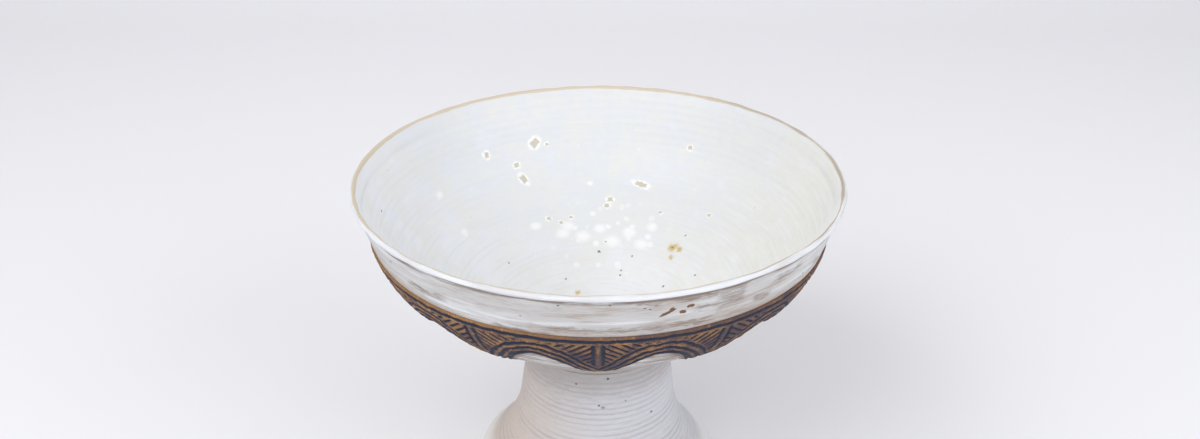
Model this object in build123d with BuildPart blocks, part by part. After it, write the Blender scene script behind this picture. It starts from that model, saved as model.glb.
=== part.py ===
from build123d import *
from math import cos, radians, sin, tan
import os

# A wheel-thrown stoneware bowl on a hollow trumpet foot, in millimetres.
# +Z is up and the origin is the middle of the circle that the foot stands on.

# Bowl. The collar and the belly are straight runs that meet at a knee, rounded by the shoulder.
RIM_RADIUS = 195.0
BOWL_HEIGHT = 156.0
LIP_RADIUS = 2.9
LIP_OVERHANG = 1.6
COLLAR_LEAN = 18.4
KNEE_DISTANCE = 71.3
SHOULDER_RADIUS = 102.5
WALL = 7.0
FLOOR_THICKNESS = 9.5

# Pedestal
PEDESTAL_HEIGHT = 121.0
STEM_RADIUS = 60.0
STEM_LEAN = 6.5
STEM_LENGTH = 45.0
FOOT_RADIUS = 104.0
FOOT_EDGE_HEIGHT = 8.0
FOOT_EDGE_FILLET = 3.6
FOOT_RING_WIDTH = 12.0
FOOT_INNER_FILLET = 2.0
PEDESTAL_WALL = 8.0

# Carved belt, and the coil that lutes the pedestal to the bowl
BAND_THICKNESS = 2.0
BAND_DEPTH = 90.0
BELT_WIDTH = 25.0
LAPPET_COUNT = 12
LAPPET_TIP_WIDTH = 3.0
COIL_LEG = 10.0

# Places that follow from those
RIM_HEIGHT = PEDESTAL_HEIGHT + BOWL_HEIGHT
LIP_CENTRE = Vector(RIM_RADIUS - LIP_RADIUS, RIM_HEIGHT - LIP_RADIUS)
STEM_TOP = Vector(STEM_RADIUS, PEDESTAL_HEIGHT)
SECTION = Plane.XZ


def falling(lean):
    """Direction down the outside of a wall that leans in by this many degrees."""
    return Vector(-sin(radians(lean)), -cos(radians(lean)))


def outward(direction):
    """Outward normal of a wall whose falling direction is given."""
    return Vector(-direction.Y, direction.X)


def rounded_wall(top, knee, base, radius):
    """Two straight runs from the top down, with a tangent arc in place of the knee."""
    upper, lower = (knee - top).normalized(), (base - knee).normalized()
    setback = radius * tan(radians(upper.get_angle(lower)) / 2)
    first = Line(top, knee - upper * setback)
    arc = TangentArc(first @ 1, knee + lower * setback, tangent=upper)
    return first, arc, Line(arc @ 1, base)


def dish(start, direction):
    """Arc from a point on the wall to the axis, which it crosses square."""
    turn = 90.0 - Vector(0, -1).get_angle(direction)
    return JernArc(start=start, tangent=direction, radius=start.X / -direction.Y, arc_size=-turn)


def down_wall(distance):
    """Point and falling direction this far below the collar, along shoulder and belly."""
    if distance < shoulder.length:
        return shoulder @ (distance / shoulder.length), shoulder % (distance / shoulder.length)
    return belly @ ((distance - shoulder.length) / belly.length), belly % 0


# Bowl, with a rolled lip. Its underside runs on as a dish over the hollow of the stem.
with BuildPart() as bowl:
    with BuildSketch(SECTION) as bowl_section:
        collar_top = Vector(RIM_RADIUS - LIP_OVERHANG, LIP_CENTRE.Y)
        knee = collar_top + falling(COLLAR_LEAN) * KNEE_DISTANCE
        collar_face = outward(falling(COLLAR_LEAN))
        belly_face = outward((STEM_TOP - knee).normalized())
        inner_top = LIP_CENTRE - collar_face * LIP_RADIUS
        inner_knee = knee - (collar_face + belly_face) * (WALL / (1 + collar_face.dot(belly_face)))
        inner_base = STEM_TOP - belly_face * FLOOR_THICKNESS
        with BuildLine():
            collar, shoulder, belly = rounded_wall(collar_top, knee, STEM_TOP, SHOULDER_RADIUS)
            underside = dish(belly @ 1, belly % 1)
            inner_wall = rounded_wall(inner_top, inner_knee, inner_base, SHOULDER_RADIUS - WALL)
            inner_floor = dish(inner_wall[-1] @ 1, inner_wall[-1] % 1)
            Line(underside @ 1, inner_floor @ 1)
            Line(inner_top, collar_top)
        make_face()
        with Locations(LIP_CENTRE):
            Circle(LIP_RADIUS)
    revolve(axis=Axis.Z)
bowl.part.label = "bowl"

# Pedestal: a hollow trumpet thrown apart from the bowl, whose underside trims its top.
with BuildPart() as pedestal:
    with BuildSketch(SECTION) as pedestal_section:
        stem_fall = falling(-STEM_LEAN)
        inner_stem_top = STEM_TOP - Vector(PEDESTAL_WALL, 0)
        with BuildLine():
            stem = Line(STEM_TOP, STEM_TOP + stem_fall * STEM_LENGTH)
            flare = TangentArc(stem @ 1, (FOOT_RADIUS, FOOT_EDGE_HEIGHT), tangent=stem_fall)
            inner_stem = Line(inner_stem_top, inner_stem_top + stem_fall * STEM_LENGTH)
            inner_flare = TangentArc(inner_stem @ 1, (FOOT_RADIUS - FOOT_RING_WIDTH, 0), tangent=stem_fall)
            Polyline(flare @ 1, (FOOT_RADIUS, 0), inner_flare @ 1)
            Line(stem @ 0, inner_stem @ 0)
        make_face()
        add(bowl_section.sketch_local, mode=Mode.SUBTRACT)
        foot_edge = pedestal_section.vertices().group_by(Axis.X)[-1]
        foot_inner = pedestal_section.vertices().group_by(Axis.Y)[0].sort_by(Axis.X)[0]
        fillet(foot_edge, FOOT_EDGE_FILLET)
        fillet(foot_inner, FOOT_INNER_FILLET)
    revolve(axis=Axis.Z)
pedestal.part.label = "pedestal"

# Coil of clay wiped down into the angle between the dish and the hollow stem.
with BuildPart() as luting_coil:
    with BuildSketch(SECTION) as coil_section:
        angle = pedestal_section.vertices().sort_by_distance((inner_stem_top.X, inner_stem_top.Y, 0))[0]
        wall_edge = Vector(angle.X, angle.Y) + stem_fall * COIL_LEG
        dish_edge = underside @ ((STEM_RADIUS - angle.X + COIL_LEG) / STEM_RADIUS)
        into_wall, into_floor = Vector(PEDESTAL_WALL / 2, 0), Vector(0, FLOOR_THICKNESS / 2)
        with BuildLine():
            Polyline(
                wall_edge,
                wall_edge + into_wall,
                Vector(angle.X, angle.Y) + into_wall + into_floor,
                dish_edge + into_floor,
                dish_edge,
                close=True,
            )
        make_face()
        add(bowl_section.sketch_local, mode=Mode.SUBTRACT)
        add(pedestal_section.sketch_local, mode=Mode.SUBTRACT)
    revolve(axis=Axis.Z)
luting_coil.part.label = "luting_coil"

# One arch, standing square to the wall at mid height, that is cut out of the belt below.
half_step = 180.0 / LAPPET_COUNT
crown, _ = down_wall(BELT_WIDTH)
tip, tip_fall = down_wall(BAND_DEPTH)
middle, middle_fall = down_wall((BELT_WIDTH + BAND_DEPTH) / 2)
facing = outward(middle_fall)
arch_plane = Plane(origin=(middle.X, 0, middle.Y), x_dir=(0, 1, 0), z_dir=(facing.X, 0, facing.Y))
tip_side = tip.X * sin(radians(half_step))
arch_crown = arch_plane.to_local_coords(Vector(crown.X, 0, crown.Y))
arch_foot = arch_plane.to_local_coords(Vector(tip.X * cos(radians(half_step)), tip_side, tip.Y))
arch_half_width = tip_side - LAPPET_TIP_WIDTH / 2
arch_rise = arch_crown.Y - arch_foot.Y
with BuildPart() as arch:
    with BuildSketch(arch_plane):
        with Locations((0, arch_foot.Y)):
            Ellipse(arch_half_width, arch_rise)
            Rectangle(2 * arch_half_width, arch_rise, align=(Align.CENTER, Align.MAX))
    # Half the rise is depth enough to pass the curve of the wall both ways.
    extrude(amount=arch_rise / 2, both=True)

# Belt of clay laid round the shoulder and belly, its back face on the wall all over.
# The arches leave a plain belt above and a ring of pointed lappets hanging from it.
with BuildPart() as carved_band:
    with BuildSketch(SECTION) as band_section:
        front_start = shoulder @ 0 + outward(shoulder % 0) * BAND_THICKNESS
        front_turn = shoulder @ 1 + outward(shoulder % 1) * BAND_THICKNESS
        with BuildLine():
            TangentArc(shoulder @ 0, shoulder @ 1, tangent=shoulder % 0)
            TangentArc(front_start, front_turn, tangent=shoulder % 0)
            Polyline(shoulder @ 1, tip, tip + outward(tip_fall) * BAND_THICKNESS, front_turn)
            Line(shoulder @ 0, front_start)
        make_face()
    revolve(axis=Axis.Z)
    with PolarLocations(0, LAPPET_COUNT, start_angle=half_step):
        add(arch.part, mode=Mode.SUBTRACT)
carved_band.part.label = "carved_band"

os.makedirs("parts", exist_ok=True)
for piece in (bowl, pedestal, luting_coil, carved_band):
    export_step(piece.part, f"parts/{piece.part.label}.step")
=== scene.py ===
from math import atan2, ceil, cos, pi, radians, sin, sqrt, tan

import bpy
import numpy as np
from bpy.props import FloatProperty, FloatVectorProperty, IntProperty, PointerProperty
from mathutils import Matrix, Vector


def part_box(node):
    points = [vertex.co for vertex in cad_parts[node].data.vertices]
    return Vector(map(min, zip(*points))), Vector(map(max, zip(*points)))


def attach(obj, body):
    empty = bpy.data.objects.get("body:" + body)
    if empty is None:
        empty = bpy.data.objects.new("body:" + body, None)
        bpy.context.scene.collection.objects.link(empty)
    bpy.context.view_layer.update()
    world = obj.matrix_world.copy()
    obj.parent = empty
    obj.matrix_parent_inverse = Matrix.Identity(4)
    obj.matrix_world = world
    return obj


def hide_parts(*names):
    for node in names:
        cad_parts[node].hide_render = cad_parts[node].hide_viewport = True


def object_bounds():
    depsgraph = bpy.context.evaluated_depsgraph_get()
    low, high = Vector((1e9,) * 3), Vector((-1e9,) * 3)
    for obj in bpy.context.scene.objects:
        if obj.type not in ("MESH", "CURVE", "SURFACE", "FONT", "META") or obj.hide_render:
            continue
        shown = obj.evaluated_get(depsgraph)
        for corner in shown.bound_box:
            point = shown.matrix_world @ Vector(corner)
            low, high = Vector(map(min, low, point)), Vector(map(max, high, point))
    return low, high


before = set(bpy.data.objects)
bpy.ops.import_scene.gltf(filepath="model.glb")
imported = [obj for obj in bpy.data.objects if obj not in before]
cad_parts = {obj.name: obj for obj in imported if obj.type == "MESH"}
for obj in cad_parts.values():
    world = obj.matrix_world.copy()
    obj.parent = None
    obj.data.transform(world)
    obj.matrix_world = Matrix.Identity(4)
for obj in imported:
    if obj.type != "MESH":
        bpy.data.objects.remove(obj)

bl_info = {
    "name": "Footed Bowl Vase",
    "version": (1, 0, 0),
    "blender": (4, 5, 0),
    "location": "3D View > Sidebar > Pottery",
    "description": "Finished surfaces of a wheel-thrown footed bowl, built round its measured solids",
    "category": "Add Mesh",
}

MM = 0.001
TURN = 2 * pi
CAD_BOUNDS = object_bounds()
BOWL_BOX, PEDESTAL_BOX, COIL_BOX = (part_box(node) for node in ("bowl", "pedestal", "luting_coil"))

# The photograph's frame, in pixels, and the width of the camera's film, in millimetres
PHOTO_WIDTH, PHOTO_HEIGHT = 1200, 439
FILM_WIDTH = 36.0

# Marks of the glaze and clay: a pixel of the photograph, then half the mark's width and height in
# millimetres, and how far it is turned on the surface in degrees
GLAZE_POPS = (
    (535, 143, 4.6, 3.8, 38), (547, 144, 1.6, 1.4, 20), (487, 155, 2.6, 3.0), (517, 165, 2.8, 2.4),
    (524, 179, 3.0, 4.6, 25), (641, 184, 6.5, 2.4, -12), (610, 199, 2.8, 2.4), (607, 205, 2.4, 2.2),
    (690, 148, 2.2, 2.2), (660, 212, 1.8, 1.4), (549, 218, 1.9, 1.6), (571, 217, 1.6, 1.4),
    (561, 222, 1.8, 1.5), (709, 215, 1.6, 1.8),
)
GLAZE_BLOTS = (
    (568, 226, 5.5, 4.5), (583, 236, 6.0, 5.0), (600, 228, 5.0, 4.0), (612, 241, 6.5, 5.0),
    (629, 232, 5.5, 5.0), (641, 244, 6.0, 4.5), (652, 227, 4.5, 4.0), (536, 226, 5.0, 3.5),
    (563, 233, 5.5, 4.5), (440, 195, 4.0, 3.0, 20), (590, 183, 2.5, 2.0), (465, 232, 4.0, 3.0, 40),
)
BLOTTED_FLOOR = ((605, 240, 62, 34),)
OCHRE_SPOTS = ((673, 247, 4.6, 4.2, 30), (679, 249, 2.6, 2.6), (671, 257, 2.4, 2.2), (577, 292, 3.0, 2.0))
GLAZE_SPECKS = (
    (672, 247, 0.9, 0.8), (685, 235, 1.0, 0.8), (606, 241, 0.8, 0.8), (620, 275, 0.9, 0.9),
    (621, 270, 0.7, 0.7), (509, 263, 0.9, 0.8), (695, 275, 0.9, 0.9), (566, 279, 0.8, 0.8),
    (663, 286, 0.9, 0.8), (632, 256, 0.7, 0.7), (599, 251, 1.4, 1.2), (382, 211, 1.1, 1.0),
)
COLLAR_CHIPS = (
    (668, 313, 5.6, 1.3, -30), (672, 310, 2.0, 1.5, -60), (683, 312, 2.3, 1.5, 10), (691, 306, 2.4, 1.4),
)
COLLAR_PATCHES = (
    (733, 297, 11, 9, -8), (690, 323, 15, 2.6), (655, 329, 14, 2.2), (762, 296, 8, 3),
    (600, 332, 40, 2.6), (818, 258, 16, 4), (425, 292, 18, 3), (520, 331, 20, 2.4),
    (700, 298, 14, 2.5), (648, 305, 8, 1.4), (790, 272, 14, 3), (712, 306, 12, 3),
)
COLLAR_SPECKS = (
    (645, 309, 1.4, 0.7, -10), (650, 310, 1.2, 0.6), (558, 306, 1.0, 0.8), (390, 262, 1.0, 0.9),
    (803, 273, 0.9, 0.9), (520, 316, 0.7, 0.6), (610, 306, 0.8, 0.6),
)
FOOT_SPECKS = (
    (576, 384, 0.9, 0.8), (608, 379, 1.0, 1.0), (599, 406, 1.0, 0.8), (652, 412, 1.2, 1.1),
    (626, 401, 0.7, 0.6),
)
FOOT_MOSS_SPOTS = ((603, 408, 1.6, 1.3),)
SPOT_REACH = 10 * MM

# How a potter's hand and the kiln have moved the clay
LIP_OVAL, LIP_OVAL_AT = 0.002, radians(40)
LIP_WAVE = 0.4 * MM
LIP_DIP, LIP_DIP_AT, LIP_DIP_SPREAD = 0.9 * MM, radians(-28), 0.012
FOOT_SHIFT = -2.6 * MM
JUNCTION_LIFT = 3.5 * MM
KNIFE_WANDER = 0.6 * MM

# How far apart the points of a drawn profile lie, before rows are taken from it, and how finely
# the arch's edge is looked for down the wall
PROFILE_STEP = 0.25 * MM
EDGE_STEP = 0.1 * MM

# Radius that rounds the foot's edge underneath, and the heights over its upright edge between
# which the slope of the flare is taken
FOOT_ROUND = 3.4 * MM
FOOT_SLOPE_BETWEEN = (3 * MM, 2 * MM)

# The belt's rows are level over this share of its plain width, and follow the arches below. Its
# edges are rounded by this radius, and its back is sunk this deep into the bowl's wall
LEVEL_SHARE = 0.8
BELT_ROUND = 1.3 * MM
BELT_SUNK = 0.8 * MM

# Lines that follow each arch: distance from its edge in millimetres, and width in groove widths
ARCH_LINES = ((2.4, 1.35), (8.2, 0.85), (13.6, 0.75))
VEIN_PITCH = 6.4 * MM

# The luting coil's section: its width, the width left at its top, how far its inner corner stands
# over its lowest edge, and the direction in which the wiped face leaves that edge
COIL_WIDTH, COIL_TOP_WIDTH, COIL_RISE = 9.5 * MM, 1 * MM, 5.2 * MM
COIL_WIPE = (-0.75, 0.66)

# The lamps: place and width in metres, and power in watts
LAMPS = {
    "key": ((-1.5, -1.3, 2.2), 2.2, 14.0),
    "fill": ((1.9, -1.2, 1.3), 2.0, 7.95),
    "low_fill": ((-0.4, -2.4, 0.7), 1.6, 2.28),
}
LAMP_SPREAD = radians(105)
LAMP_AIM = Vector((0, 0, 0.18))

# The floor and backdrop, in metres
COVE_FRONT, COVE_BACK, COVE_BEND, COVE_TALL, COVE_HALF_WIDE = -9.0, 2.2, 1.0, 5.0, 9.0
COVE_COLUMNS = 9
COVE_POINTS_SKIPPED = 80


def paint(red, green, blue):
    """Linear colour of an ordinary 0 to 255 colour."""
    parts = np.array([red, green, blue]) / 255
    return tuple(np.where(parts < 0.04045, parts / 12.92, ((parts + 0.055) / 1.055) ** 2.4))


def length(name, description, default):
    """A length that a user may change, in metres."""
    return FloatProperty(name=name, description=description, default=default, unit="LENGTH", precision=4)


def angle(name, description, degrees):
    """An angle that a user may change."""
    return FloatProperty(name=name, description=description, default=radians(degrees), subtype="ANGLE")


def colour(name, description, default):
    """A colour that a user may change."""
    return FloatVectorProperty(
        name=name, description=description, default=default, subtype="COLOR", min=0, max=1
    )


class BowlSizes(bpy.types.PropertyGroup):
    """Profile of the bowl."""

    rim_radius: length("Rim radius", "Axis to the outermost point of the lip", BOWL_BOX[1].x)
    rim_height: length("Rim height", "Table to the top of the lip", BOWL_BOX[1].z)
    lip_radius: length("Lip radius", "Half the thickness of the rolled lip", 2.6 * MM)
    lip_overhang: length("Lip overhang", "How far the lip stands out over the collar", 1.6 * MM)
    collar_lean: angle("Collar lean", "Lean of the collar from upright", 18.4)
    knee_distance: length("Knee distance", "Lip to the corner that the shoulder rounds off", 71.3 * MM)
    shoulder_radius: length("Shoulder radius", "Radius of the bend between collar and belly", 102.5 * MM)
    wall: length("Wall", "Thickness of the bowl's wall", 7 * MM)
    floor: length("Floor", "Thickness of the bowl's floor", 9.5 * MM)
    ring_pitch: length("Ring pitch", "Width of a throwing ring inside, near the rim", 7.2 * MM)
    ring_depth: length("Ring depth", "Height of the throwing rings inside", 0.22 * MM)


class PedestalSizes(bpy.types.PropertyGroup):
    """Profile of the hollow foot."""

    height: length("Height", "Table to where the foot meets the bowl", PEDESTAL_BOX[1].z + JUNCTION_LIFT)
    stem_radius: length("Stem radius", "Radius of the top of the stem", 60 * MM)
    stem_lean: angle("Stem lean", "How much the stem widens downwards", 6.5)
    stem_length: length("Stem length", "Length of the stem before it flares", 49 * MM)
    foot_radius: length("Foot radius", "Radius of the foot's edge", PEDESTAL_BOX[1].x - 1.2 * MM)
    foot_edge: length("Foot edge", "Height of the foot's upright edge", 8 * MM)
    foot_ring: length("Foot ring", "Width of the ring that the foot stands on", 12 * MM)
    wall: length("Wall", "Thickness of the foot's wall", 8 * MM)
    groove_pitch: length("Groove pitch", "Distance from one throwing groove to the next", 4.8 * MM)
    groove_depth: length("Groove depth", "Depth of the throwing grooves", 0.5 * MM)


class BeltSizes(bpy.types.PropertyGroup):
    """Layout of the carved belt."""

    thickness: length("Thickness", "How far the belt stands out from the bowl", 2 * MM)
    depth: length("Depth", "Top of the belt to the lappet tips, down the wall", 90 * MM)
    belt_width: length("Belt width", "Width of the belt above the arches", 25 * MM)
    lappets: IntProperty(name="Lappets", description="Number of lappets round the bowl", default=12, min=4)
    tip_width: length("Tip width", "Width of a lappet at its tip", 3 * MM)
    groove_width: length("Groove width", "Width of a carved line", 3.0 * MM)
    groove_depth: length("Groove depth", "Depth of a carved line", 1.6 * MM)


class ClayColours(bpy.types.PropertyGroup):
    """Colours of glaze, slip and clay."""

    milk: colour("Milky glaze", "Thick white glaze inside", paint(242, 243, 244))
    thick: colour("Thick glaze", "Glaze so thick that no clay shows through", paint(249, 249, 248))
    # Also laid over the left of the inside as painted shade
    cool_milk: colour("Cool glaze", "Where the glaze runs thin and cool", paint(232, 235, 241))
    # Painted shade, laid on the far wall inside and on the throwing rings
    shaded: colour("Shaded glaze", "Glaze on the far wall", paint(221, 224, 229))
    # Also laid over the right of the inside as painted warm light
    cream: colour("Cream glaze", "Where the glaze is warm", paint(231, 230, 223))
    pop: colour("Pop", "Clay in a place where the glaze has popped", paint(201, 196, 177))
    bare_clay: colour("Bare clay", "Toasted clay of the lip", paint(212, 198, 176))
    chip: colour("Chip", "Rust-brown clay in a chip", paint(116, 84, 56))
    honey: colour("Honey", "Yellow spots where iron has melted into the glaze", paint(204, 178, 112))
    speck: colour("Speck", "Iron specks", paint(72, 66, 58))
    moss: colour("Moss", "Greenish spot in the slip", paint(128, 126, 92))
    brushed: colour("Brushed glaze", "Thin glaze brushed on the collar", paint(198, 197, 197))
    brushed_warm: colour("Brushed clay", "Clay that shows between brush marks", paint(170, 156, 145))
    belly: colour("Belly glaze", "Thin grey glaze on the belly", paint(172, 167, 162))
    stain: colour("Stain", "Iron that has bled from the belt", paint(118, 98, 84))
    gold: colour("Gold", "Bright flecks on the belt", paint(198, 154, 96))
    # Also laid as a painted highlight along the belt's top edge
    ochre: colour("Ochre", "Ochre on the highest ridges", paint(168, 126, 78))
    rust: colour("Rust", "Brown slip on the belt", paint(124, 93, 74))
    umber: colour("Umber", "Purple-brown slip on the belt", paint(82, 68, 74))
    ink: colour("Ink", "Blue-black in the carved lines", paint(46, 50, 66))
    slip: colour("Slip", "Matt slip of the foot", paint(204, 205, 211))
    # Painted warm reflected light, laid on the left of the foot
    slip_warm_reflection: colour("Warm slip", "Slip where the clay warms it", paint(203, 191, 182))
    # Painted shadow under the bowl, on the top of the stem
    painted_bowl_shadow: colour("Thin slip", "Slip worn thin under the bowl", paint(160, 154, 152))
    # Painted shade: in the foot's throwing grooves, and in a ring under the rim inside
    slip_shadow: colour("Slip shadow", "Slip in the throwing grooves", paint(168, 163, 169))


class ViewPlace(bpy.types.PropertyGroup):
    """Where the photograph was taken from."""

    distance: length("Distance", "Camera to the bowl's axis, along the floor", 865.1 * MM)
    height: length("Height", "Camera above the table", 675.5 * MM)
    aside: length("Aside", "Camera to the right of the axis", 1.2 * MM)
    pitch: angle("Pitch", "How far the camera looks down", 27.02)
    lens: FloatProperty(name="Lens", description="Focal length over a 36 mm frame", default=36.0)


def falling(lean):
    """Unit direction down the outside of a wall that leans in by this angle."""
    return np.array([-sin(lean), -cos(lean)])


def unit(vector):
    """The vector at length one."""
    return vector / np.linalg.norm(vector)


def facing(direction):
    """Normal on the left of a direction. Profiles are drawn with the open air on their left."""
    return np.array([-direction[1], direction[0]])


def straight(start, end):
    """Evenly spaced points on a straight run."""
    steps = max(2, ceil(np.hypot(*(end - start)) / PROFILE_STEP))
    return start + np.linspace(0, 1, steps)[:, None] * (end - start)


def bend(start, direction, end):
    """Arc that leaves start along direction and arrives at end.

    It turns by twice the angle between direction and chord, and its radius is the chord
    over twice the sine of that angle.
    """
    chord, side = end - start, facing(direction)
    turn = 2 * atan2(chord @ side, chord @ direction)
    radius = np.hypot(*chord) / (2 * sin(turn / 2))
    turned = np.linspace(0, turn, max(3, ceil(abs(radius * turn) / PROFILE_STEP)))[:, None]
    return start + radius * (np.sin(turned) * direction + (1 - np.cos(turned)) * side)


def rounded_wall(top, knee, base, radius):
    """Straight run from top to knee and on to base, with a tangent arc in place of the knee."""
    upper, lower = unit(knee - top), unit(base - knee)
    setback = radius * tan(np.arccos(upper @ lower) / 2)
    arc_start, arc_end = knee - upper * setback, knee + lower * setback
    return [straight(top, arc_start), bend(arc_start, upper, arc_end), straight(arc_end, base)]


def dish(start, direction):
    """Arc from a wall to the axis, about a centre on the axis, so that it crosses square."""
    radius = start[0] / -direction[1]
    return bend(start, direction, np.array([0, start[1] - radius * (1 + direction[0])]))


def travelled(points):
    """Distance along a profile, from its first point to each point."""
    return np.concatenate([[0], np.cumsum(np.hypot(*np.diff(points, axis=0).T))])


def placed(points, distances):
    """Places on a profile at these distances along it, and the normals there."""
    run = travelled(points)
    place = np.stack([np.interp(distances, run, points[:, axis]) for axis in (0, 1)], axis=-1)
    slope = np.gradient(points, run, axis=0)
    along = np.stack([np.interp(distances, run, slope[:, axis]) for axis in (0, 1)], axis=-1)
    along /= np.linalg.norm(along, axis=-1, keepdims=True)
    return place, np.stack([-along[..., 1], along[..., 0]], axis=-1)


def joined(*runs):
    """One profile from several that follow on, each shared point kept once."""
    points = np.concatenate(runs)
    kept = np.concatenate([[True], np.hypot(*np.diff(points, axis=0).T) > PROFILE_STEP / 100])
    return points[kept]


def rows_of(*stretches):
    """Row distances for stretches given as (start, end, spacing), each end shared."""
    rows = [np.linspace(a, b, ceil((b - a) / step) + 1)[:-1] for a, b, step in stretches]
    return np.concatenate([*rows, [stretches[-1][1]]])


def smooth(value, low, high):
    """Eased step: 0 at low, 1 at high, 3t^2 - 2t^3 between."""
    t = np.clip((value - low) / (high - low), 0, 1)
    return t * t * (3 - 2 * t)


def line(distance, width):
    """A carved line's section: 1 in the middle, falling off as a bell of this full width."""
    return np.exp(-((2 * distance / width) ** 2) * np.log(4))


def unevenness(seed, azimuth, distance, turns, wavelength, waves=28):
    """Unevenness of a hand, mostly within -1 to 1.

    It is a sum of waves at random phases. Each goes a whole number of times round the axis,
    so that it closes, and is at least one wavelength long down the wall.
    """
    random = np.random.default_rng(seed)
    total = 0
    for _ in range(waves):
        round_axis = random.integers(-turns, turns + 1)
        down_wall = random.uniform(-TURN, TURN) / wavelength
        total = total + np.cos(round_axis * azimuth + down_wall * distance + random.uniform(0, TURN))
    return total / sqrt(2 * waves)


def spiral(azimuth, distance, pitch, wander=0.0):
    """Throwing line that climbs one pitch a turn: 1 on the line and 0 half way between lines."""
    return 0.5 + 0.5 * np.cos(TURN * (distance / pitch + wander) - azimuth)


def seen_on(view, outline, inside, pixel):
    """Where the photograph shows a pixel on a turned surface, and the axes of the surface there.

    The camera's line through the pixel is followed until its distance from the axis crosses
    the outline's. The axes run across, down the wall and square to both.
    """
    ahead = np.array([0, cos(view.pitch), -sin(view.pitch)])
    up = np.array([0, sin(view.pitch), cos(view.pitch)])
    focal = view.lens / FILM_WIDTH * PHOTO_WIDTH
    line_of_sight = focal * ahead + (PHOTO_HEIGHT / 2 - pixel[1]) * up
    line_of_sight[0] = pixel[0] - PHOTO_WIDTH / 2
    reach = np.arange(0.5, 1.5, 0.2 * MM)[:, None]
    points = (view.aside, -view.distance, view.height) + reach * unit(line_of_sight)
    radius = np.hypot(points[:, 0], points[:, 1])
    order = np.argsort(outline[:, 1])
    wall = np.interp(points[:, 2], *outline[order].T[::-1], right=1.0 if inside else 0.0)
    beyond = radius > wall
    hit = points[np.argmax(beyond[1:] != beyond[:-1])]
    around = atan2(hit[1], hit[0])
    nearest = np.hypot(*(outline - (np.hypot(*hit[:2]), hit[2])).T)[1:-1].argmin() + 1
    slope = unit(outline[nearest + 1] - outline[nearest - 1])
    across = np.array([-sin(around), cos(around), 0])
    down = np.array([slope[0] * cos(around), slope[0] * sin(around), slope[1]])
    return hit, (across, down, np.cross(across, down))


class Spot:
    """A mark lying on a surface, oval or square: its half width and half height, and its turn there."""

    def __init__(self, place, axes, half_width, half_height, turn=0.0, softness=0.35, square=False):
        across, down, out = (Vector(axis) for axis in axes)
        frame_turned = Matrix((across, down, out)).transposed() @ Matrix.Rotation(radians(turn), 3, "Z")
        self.at, self.turned = Vector(place), frame_turned.to_euler()
        self.size = (half_width, half_height, SPOT_REACH)
        self.softness, self.square = softness, square


def spots_seen(surface, marks, softness=0.35, share=1.0, square=False):
    """Spots for marks written as a pixel, a half width and half height in millimetres, and a turn.

    Each is made this share of the size written. A surface is the view that shows it, its outline,
    and whether its inside is what shows.
    """
    made = []
    for x, y, half_width, half_height, *turn in marks:
        place, axes = seen_on(*surface, (x, y))
        sides = (half_width * share * MM, half_height * share * MM)
        made.append(Spot(place, axes, *sides, *turn, softness=softness, square=square))
    return made


class BowlProfile:
    """The bowl's section, drawn up the inside, over the lip and down the outside."""

    def __init__(self, bowl, pedestal):
        down = falling(bowl.collar_lean)
        lip = np.array([bowl.rim_radius - bowl.lip_radius, bowl.rim_height - bowl.lip_radius])
        collar_top = np.array([bowl.rim_radius - bowl.lip_overhang, lip[1]])
        base = np.array([pedestal.stem_radius, pedestal.height])
        knee = collar_top + down * bowl.knee_distance
        collar_face, belly_face = facing(down), facing(unit(base - knee))
        inner_top = lip - collar_face * bowl.lip_radius
        inner_knee = knee - (collar_face + belly_face) * bowl.wall / (1 + collar_face @ belly_face)
        inner_base = base - belly_face * bowl.floor

        # The collar leaves the round of the lip where its line cuts the circle.
        out = collar_top - lip
        fall = -(out @ down) + sqrt((out @ down) ** 2 + bowl.lip_radius**2 - out @ out)
        under_lip = collar_top + down * fall
        start, end = (atan2(*(point - lip)[::-1]) for point in (inner_top, under_lip))
        around = np.linspace(start, end, ceil(bowl.lip_radius * (start - end) / PROFILE_STEP))
        lip_round = lip + bowl.lip_radius * np.stack([np.cos(around), np.sin(around)], axis=-1)

        self.wall = rounded_wall(under_lip, knee, base, bowl.shoulder_radius)
        inner = rounded_wall(inner_top, inner_knee, inner_base, bowl.shoulder_radius - bowl.wall)
        floor = dish(inner_base, unit(inner_base - inner_knee))
        underside = dish(base, unit(base - knee))
        self.inside = joined(*inner, floor)
        self.outside = joined(*self.wall, underside)
        self.points = joined(self.inside[::-1], lip_round, self.outside)
        self.inside_length = travelled(self.inside)[-1]
        self.lip_length = travelled(lip_round)[-1]
        self.lip_top = self.inside_length + bowl.lip_radius * (start - pi / 2)
        self.collar_length = travelled(self.wall[0])[-1]
        self.wall_length = travelled(joined(*self.wall))[-1]
        self.length = travelled(self.points)[-1]
        self.collar_start = self.inside_length + self.lip_length


def settled(place, azimuth):
    """Lets a profile point settle as fired clay does, always inwards and down.

    The shift grows with the square of the height. Round the axis it is an oval, a
    three-cornered wave, and one low place in the lip.
    """
    lift = (place[..., 1] / CAD_BOUNDS[1].z) ** 2
    oval = 0.5 + 0.5 * np.cos(2 * azimuth - LIP_OVAL_AT)
    dip = np.exp(-(((np.cos(azimuth - LIP_DIP_AT) - 1) / LIP_DIP_SPREAD) ** 2))
    radius = place[..., 0] * (1 - LIP_OVAL * oval * lift)
    height = place[..., 1] - lift * (LIP_WAVE * (0.5 + 0.5 * np.cos(3 * azimuth)) + LIP_DIP * dip)
    return radius, height


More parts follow.
